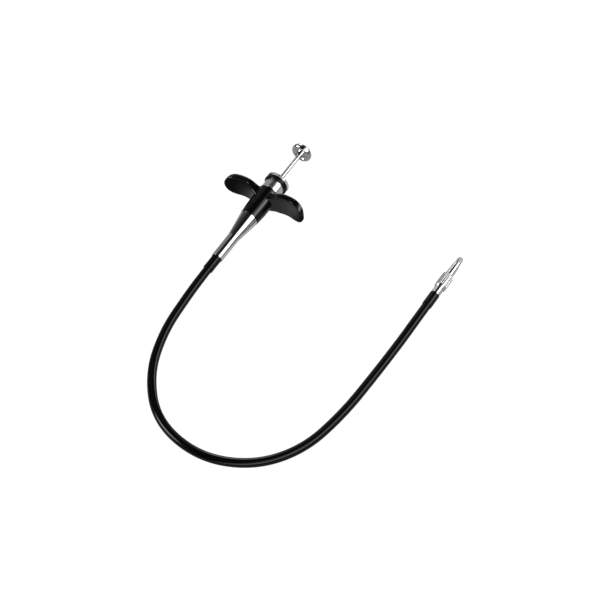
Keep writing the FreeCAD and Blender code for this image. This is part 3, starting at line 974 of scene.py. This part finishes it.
def make_grip():
    """Moulded finger grip: barrel and two wings grown together, with the stepped bore."""
    grip = joined("finger_grip_body", [barrel_blank(), wing_blank(1), wing_blank(-1)])
    merge = grip.modifiers.new("merge", "REMESH")
    merge.mode = "VOXEL"
    merge.voxel_size = GRIP_VOXEL
    relax = grip.modifiers.new("relax", "SMOOTH")
    relax.factor = 0.5
    relax.iterations = 7
    apply_modifiers(grip)
    true_barrel(grip.data)
    tool = bore_tool()
    cut = grip.modifiers.new("bore", "BOOLEAN")
    cut.operation = "DIFFERENCE"
    cut.solver = "EXACT"
    cut.object = tool
    apply_modifiers(grip)
    bpy.data.objects.remove(tool)
    mesh = grip.data
    crease_marks(mesh)
    mesh.transform(HANDLE @ Matrix.Scale(MM, 4))
    mesh.shade_smooth()
    mesh.set_sharp_from_angle(angle=math.radians(40))
    mesh.materials.clear()
    mesh.materials.append(GRIP_BLACK)
    return grip


# ---------------------------------------------------------------- camera end of the cable


def make_boot():
    """Black boot between the cable and the ferrule."""
    return turned("black_tip_boot", [
        (2.0, 0.0, 0.0),
        (2.12, 0.0, 0.08),
        (2.25, 0.7, 0.4),
        (2.25, 7.5, 0.15),
        (2.0, 7.5, 0.0),
    ], TIP, BOOT_BLACK)


def make_ferrule():
    """Plain chrome ferrule with the grooved spigot that the nut turns on."""
    return turned("chrome_ferrule", [
        (1.3, 5.1, 0.0),
        (1.98, 5.1, 0.0),
        (1.98, 7.5, 0.0),
        (2.15, 7.5, 0.1),
        (2.15, 11.4, 0.15),
        (1.5, 11.4, 0.0),
        (1.5, 15.1, 0.0),
        (1.15, 15.1, 0.0),
        (1.15, 15.7, 0.0),
        (1.5, 15.7, 0.0),
        (1.5, 16.7, 0.1),
        (0.85, 16.7, 0.0),
        (0.85, 6.5, 0.0),
        (1.3, 6.5, 0.0),
    ], TIP, CHROME_TIP)


def make_nut():
    """Swivel nut: a plain collar at the rear, straight ribs, and a chamfer in front."""
    body = turned("nut_blank", [
        (1.58, 11.5, 0.08),
        (2.15, 11.5, 0.1),
        (2.6, 12.0, 0.15),
        (2.6, 12.8, 0.1),
        (2.5, 12.95, 0.05),
        (2.5, 19.3, 0.2),
        (2.05, 20.1, 0.2),
        (1.6, 20.1, 0.0),
        (1.6, 17.6, 0.0),
        (2.1, 17.6, 0.0),
        (2.1, 14.95, 0.0),
        (1.58, 14.95, 0.0),
    ], TIP, RIBBED_CHROME)
    grip_ribs = ribs("nut_ribs", TIP, 18, 2.29, 0.40, 12.95, 19.7, RIBBED_CHROME)
    return joined("ribbed_swivel_nut", [body, grip_ribs])


def make_screw():
    """Tapered screw: fine thread, smooth pilot, groove and round nose."""
    core = turned("screw_core", [
        (0.85, 17.6, 0.0),
        (1.58, 17.6, 0.1),
        (1.58, 20.1, 0.0),
        (1.90, 20.15, 0.05),
        (1.66, 26.8, 0.1),
        (1.47, 27.1, 0.1),
        (1.47, 28.4, 0.1),
        (1.0, 28.4, 0.0),
        (0.85, 28.4, 0.0),
    ], TIP, CHROME_TIP)
    nose = turned("screw_nose", [
        (0.85, 28.35, 0.0),
        (1.1, 28.35, 0.0),
        (1.1, 29.0, 0.05),
        (1.3, 29.0, 0.12),
        (1.3, 31.1, 0.35),
        (1.15, 31.65, 0.25),
        (0.95, 31.9, 0.1),
        (0.85, 31.9, 0.0),
    ], TIP, GROUND_NOSE)
    thread = coil("screw_thread", TIP, 20.35, 26.75, 12.8, (1.61, 1.37), 0.31, 12, 0.8, CHROME_TIP)
    return joined("tapered_screw", [core, nose, thread])


def make_pin():
    """The pin that reaches the shutter, rounded at its end."""
    return turned("release_pin", [
        (0.0, 6.6, 0.0),
        (0.8, 6.6, 0.1),
        (0.8, 32.1, 0.2),
        (0.0, 32.2, 0.0),
    ], TIP, TIP_WIRE, closed=False, around=48)


def make_cable():
    """The sheathed cable: one smooth curve with a round section."""
    line = bpy.data.curves.new("black_cable", "CURVE")
    line.dimensions = "3D"
    spline = line.splines.new("NURBS")
    spline.points.add(len(CABLE_ROUTE) - 1)
    for point, place in zip(spline.points, CABLE_ROUTE):
        point.co = (*place, 1)
    spline.order_u = 3
    spline.use_endpoint_u = True
    spline.resolution_u = 24
    line.bevel_depth = CABLE_RADIUS * MM
    line.bevel_resolution = 8
    line.use_fill_caps = True
    line.materials.append(VINYL_BLACK)
    cable = bpy.data.objects.new("black_cable", line)
    bpy.context.scene.collection.objects.link(cable)
    return cable


# ---------------------------------------------------------------- table and light


# What the camera sees of the table and the room is plain white; the object gets the light below.
WHITE_LEVEL = 1.05

# The table's light: its reach from the middle and its levels, near and far. It is darker on both sides
# of the handle in a painted shade, which stands for the wings' shadow on the table. Going out sideways
# the shade starts, is full, begins to end and ends at four distances; lengthways it is full within one
# distance and gone beyond the other.
TABLE_HALF = 6.0
TABLE_DROP = 0.02 * MM
TABLE_REACH = (0.12, 0.32)
TABLE_LEVELS = (0.43, 0.08)
SHADE_ACROSS = (0.009, 0.018, 0.026, 0.040)
SHADE_ALONG = (0.010, 0.022)
SHADE_DEPTH = 0.88

# The room's light. Strips lie between two angles about the Y axis, in degrees, with soft borders.
# The wall's light grows in two steps of Y, each with its two ends and its level before and after.
# A lamp has a direction, the cosines of its full and faded borders, and a level.
ROOM_LEVEL = 0.012
SOFT_BOX = (24, 73, 5)
SOFT_BOX_LEVEL = 1.4
SOFT_BOX_MIDDLE = (44, 60, 7)
SOFT_BOX_MIDDLE_LEVEL = 4.2
WALL = (-100, -27, 5)
WALL_STEPS = [(0.25, 0.45, 0.03, 0.18), (0.48, 0.60, 0.0, 0.34)]
LAMPS = [
    ((-0.74, -0.50, 0.45), 0.98, 0.955, 9.0),
    ((-0.50, 0.78, 0.39), 0.993, 0.984, 6.0),
]


def white_to_camera(tree, level):
    """The white level for the camera's own rays and the given level for all others."""
    strength = put(tree, "ShaderNodeMix", data_type="FLOAT")
    tree.links.new(put(tree, "ShaderNodeLightPath").outputs["Is Camera Ray"], strength.inputs[0])
    tree.links.new(level, strength.inputs[2])
    strength.inputs[3].default_value = WHITE_LEVEL
    return strength.outputs[0]


def make_table():
    """A white table without an end."""
    mesh = bpy.data.meshes.new("white_table")
    sides = ((-1, -1), (1, -1), (1, 1), (-1, 1))
    corners = [(TABLE_HALF * across, TABLE_HALF * along, -TABLE_DROP) for across, along in sides]
    mesh.from_pydata(corners, [], [(0, 1, 2, 3)])
    material = bpy.data.materials.new("white paper")
    material.use_nodes = True
    tree = material.node_tree
    tree.nodes.remove(tree.nodes["Principled BSDF"])
    spot = put(tree, "ShaderNodeTexCoord").outputs["Object"]
    parts = feed(tree, put(tree, "ShaderNodeSeparateXYZ"), Vector=spot)
    reach = feed(tree, put(tree, "ShaderNodeVectorMath", operation="LENGTH"), Vector=spot)
    light = eased(tree, reach.outputs["Value"], *TABLE_REACH, *TABLE_LEVELS)
    across = maths(tree, "ABSOLUTE", parts.outputs["X"])
    along = maths(tree, "ABSOLUTE", parts.outputs["Y"])
    # Painted shade: the table's light is darkened on both sides of the handle to stand for the wings'
    # shadow.
    starts, full, thins, ends = SHADE_ACROSS
    shade = maths(tree, "MULTIPLY", eased(tree, across, starts, full), eased(tree, across, ends, thins))
    shade = maths(tree, "MULTIPLY", shade, eased(tree, along, SHADE_ALONG[1], SHADE_ALONG[0]))
    bounced = maths(tree, "MULTIPLY", light, maths(tree, "MULTIPLY_ADD", shade, -SHADE_DEPTH, 1.0))
    glow = put(tree, "ShaderNodeEmission")
    feed(tree, glow, Color=(1, 1, 1, 1), Strength=white_to_camera(tree, bounced))
    tree.links.new(glow.outputs["Emission"], tree.nodes["Material Output"].inputs["Surface"])
    add_piece("white_table", mesh, material)


def light_studio():
    """A dark room: a long soft box above on the right, a grey wall on the left, two lamps."""
    world = bpy.data.worlds.new("studio")
    bpy.context.scene.world = world
    world.use_nodes = True
    tree = world.node_tree
    way = put(tree, "ShaderNodeTexCoord").outputs["Generated"]
    parts = feed(tree, put(tree, "ShaderNodeSeparateXYZ"), Vector=way).outputs
    around = maths(tree, "MULTIPLY", maths(tree, "ARCTAN2", parts["X"], parts["Z"]), 180 / math.pi)

    def strip(low, high, soft):
        """A band of light along the Y axis."""
        rise = eased(tree, around, low - soft, low + soft)
        fall = eased(tree, around, high - soft, high + soft, 1.0, 0.0)
        return maths(tree, "MULTIPLY", rise, fall)

    def lamp(direction, inner, outer, level):
        """A round lamp, full within its inner border and faded out at its outer one."""
        facing = put(tree, "ShaderNodeVectorMath", operation="DOT_PRODUCT")
        tree.links.new(way, facing.inputs[0])
        facing.inputs[1].default_value = Vector(direction).normalized()
        return eased(tree, facing.outputs["Value"], outer, inner, 0.0, level)

    wall = maths(tree, "ADD", *[eased(tree, parts["Y"], *step) for step in WALL_STEPS])
    sources = [
        maths(tree, "MULTIPLY", strip(*SOFT_BOX), SOFT_BOX_LEVEL),
        maths(tree, "MULTIPLY", strip(*SOFT_BOX_MIDDLE), SOFT_BOX_MIDDLE_LEVEL),
        maths(tree, "MULTIPLY", strip(*WALL), wall),
    ]
    sources += [lamp(*values) for values in LAMPS]
    total = ROOM_LEVEL
    for source in sources:
        total = maths(tree, "ADD", source, total)
    background = tree.nodes["Background"]
    feed(tree, background, Color=(1, 1, 1, 1), Strength=white_to_camera(tree, total))
    bpy.context.scene.view_settings.view_transform = "Standard"


# ---------------------------------------------------------------- assembly

HIDDEN_FINISHES = {
    "rod_piston": BRASS,
    "plunger_wire": SPRING_WIRE,
    "lock_cage": BRASS,
    "lock_balls": GROUND_STEEL,
    "lock_cone": GROUND_STEEL,
    "lock_spring_seat": SPRING_WIRE,
    "spring_barrel": BRASS,
    "guide_bush": BRASS,
    "conduit_anchor": BRASS,
    "spiral_conduit": SPRING_WIRE,
    "core_wire": SPRING_WIRE,
    "tip_retaining_ring": TIP_WIRE,
}


def settle(piece, body, node):
    """A piece rides on its body and stands for its node, which is hidden."""
    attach(piece, body)
    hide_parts(node)
    return piece


def finish_hidden_nodes():
    """Better finishes for the CAD pieces that stay."""
    for name, material in HIDDEN_FINISHES.items():
        node = NODES[name]
        node.data.materials.clear()
        node.data.materials.append(material)


def build():
    """Every piece of the release on its body."""
    set_camera()
    cable = settle(make_cable(), "root", "cable_jacket")
    settle(make_strain_relief(), "root", "strain_relief")
    settle(make_cone_sleeve(), "root", "cone_sleeve")
    settle(make_grip(), "root", "finger_grip")
    settle(make_neck(), "root", "neck_tube")
    settle(make_lock_ring(), "lock", "lock_skirt")
    settle(make_lock_disc(), "lock", "lock_disc")
    settle(make_rod(), "plunger", "plunger_rod")
    settle(make_button(), "plunger", "button_cap")
    back, lock = make_springs()
    settle(back, "root", "return_spring")
    settle(lock, "root", "lock_spring")
    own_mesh(back)
    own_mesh(lock)
    boot = settle(make_boot(), "root", "tip_boot")
    ferrule = settle(make_ferrule(), "root", "tip_ferrule")
    nut = settle(make_nut(), "tip_swivel", "swivel_nut")
    screw = settle(make_screw(), "tip_swivel", "tip_screw")
    pin = settle(make_pin(), "pin", "tip_pin")
    finish_hidden_nodes()
    tip_pieces = [boot, ferrule, nut, screw, pin]
    tip_pieces += [NODES[name] for name in ("tip_retaining_ring", "spiral_conduit", "core_wire")]
    make_table()
    light_studio()


build()
